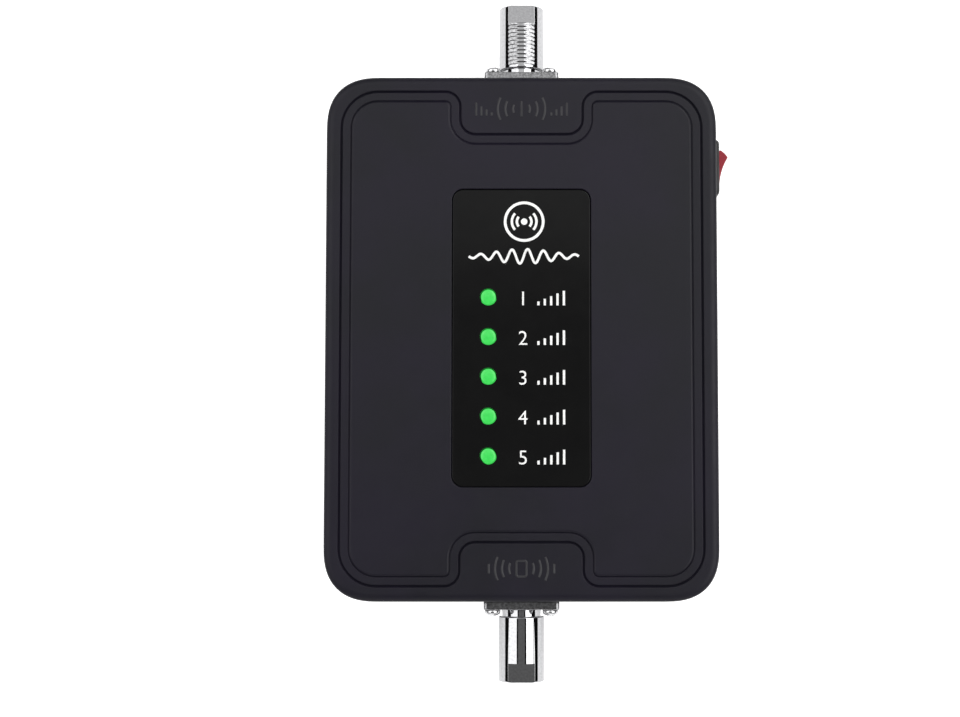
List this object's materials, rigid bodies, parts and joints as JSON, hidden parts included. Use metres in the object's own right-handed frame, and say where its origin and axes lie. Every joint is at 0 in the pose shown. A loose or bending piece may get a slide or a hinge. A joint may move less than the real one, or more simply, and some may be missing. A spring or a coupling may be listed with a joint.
{
  "type": "cellular signal booster",
  "caption": "Vehicle cellular signal booster: moulded box with a coaxial jack on each end, display window with indicator lights, and a rocker power switch.",
  "frame": {"origin": "bottom centre of the whole object's bounding box, on the plane its rubber feet stand on", "axes": "+Z out of the display face, +Y towards the outside-antenna jack, +X towards the side wall with the switch and power inlet"},
  "size_m": [0.106, 0.1792, 0.0299],
  "materials": {
    "shell_plastic": "fine matte moulded texture",
    "window_gloss": "polished",
    "light_pipe": "clear green, lit",
    "led_body": "satin",
    "chrome": "bright nickel plating",
    "screw_steel": "plated",
    "insulator": "smooth white",
    "gold_contact": "gold plated",
    "switch_black": "satin",
    "switch_red": "satin",
    "copper": "bright",
    "board_green": "solder mask",
    "tin_shield": "tinned",
    "ceramic": "matt",
    "aluminium": "milled",
    "thermal_pad": "soft",
    "rubber": "matt",
    "capacitor_sleeve": "shrink sleeve",
    "ferrite": "matt"
  },
  "bodies": {
    "box": {"board_screw_1": "screw_steel", "board_screw_2": "screw_steel", "board_screw_3": "screw_steel", "board_screw_4": "screw_steel", "common_terminal": "copper", "dc_jack_pin": "gold_contact", "dc_power_jack": "switch_black", "display_window": "window_gloss", "downlink_shield_can": "tin_shield", "downlink_thermal_pad": "thermal_pad", "front_cover": "shell_plastic", "heat_plate": "aluminium", "inside_duplexer": "ceramic", "inside_flange_screw_1": "screw_steel", "inside_flange_screw_2": "screw_steel", "inside_flange_screw_3": "screw_steel", "inside_flange_screw_4": "screw_steel", "inside_jack_contact": "gold_contact", "inside_jack_insulator": "insulator", "inside_jack_shell": "chrome", "led_1": "led_body", "led_2": "led_body", "led_3": "led_body", "led_4": "led_body", "led_5": "led_body", "light_pipe_1": "light_pipe", "light_pipe_2": "light_pipe", "light_pipe_3": "light_pipe", "light_pipe_4": "light_pipe", "light_pipe_5": "light_pipe", "load_terminal": "copper", "main_board": "board_green", "outside_duplexer": "ceramic", "outside_flange_screw_1": "screw_steel", "outside_flange_screw_2": "screw_steel", "outside_flange_screw_3": "screw_steel", "outside_flange_screw_4": "screw_steel", "outside_jack_contact": "gold_contact", "outside_jack_insulator": "insulator", "outside_jack_shell": "chrome", "power_capacitor": "capacitor_sleeve", "power_inductor": "ferrite", "rear_cover": "shell_plastic", "rear_cover_screw_1": "screw_steel", "rear_cover_screw_2": "screw_steel", "rear_cover_screw_3": "screw_steel", "rear_cover_screw_4": "screw_steel", "rubber_foot_1": "rubber", "rubber_foot_2": "rubber", "rubber_foot_3": "rubber", "rubber_foot_4": "rubber", "switch_housing": "switch_black", "uplink_shield_can": "tin_shield", "uplink_thermal_pad": "thermal_pad"},
    "rocker": {"switch_rocker": "switch_red", "switch_plunger": "switch_black"},
    "blade": {"contact_blade": "copper"}
  },
  "joints": [
    {"name": "rocker_hinge", "type": "hinge", "parent": "box", "child": "rocker", "pos_m": [0.04813, 0.0459, 0.0155], "axis": [0, 0, 1], "range_deg": [0, 33]},
    {"name": "blade_rock", "type": "hinge", "parent": "box", "child": "blade", "pos_m": [0.04337, 0.0459, 0.0155], "axis": [0, 0, 1], "range_deg": [-16, 0]}
  ],
  "couplings": [
    {"joint": "blade_rock", "follows": "rocker_hinge", "ratio": -0.4848}
  ]
}
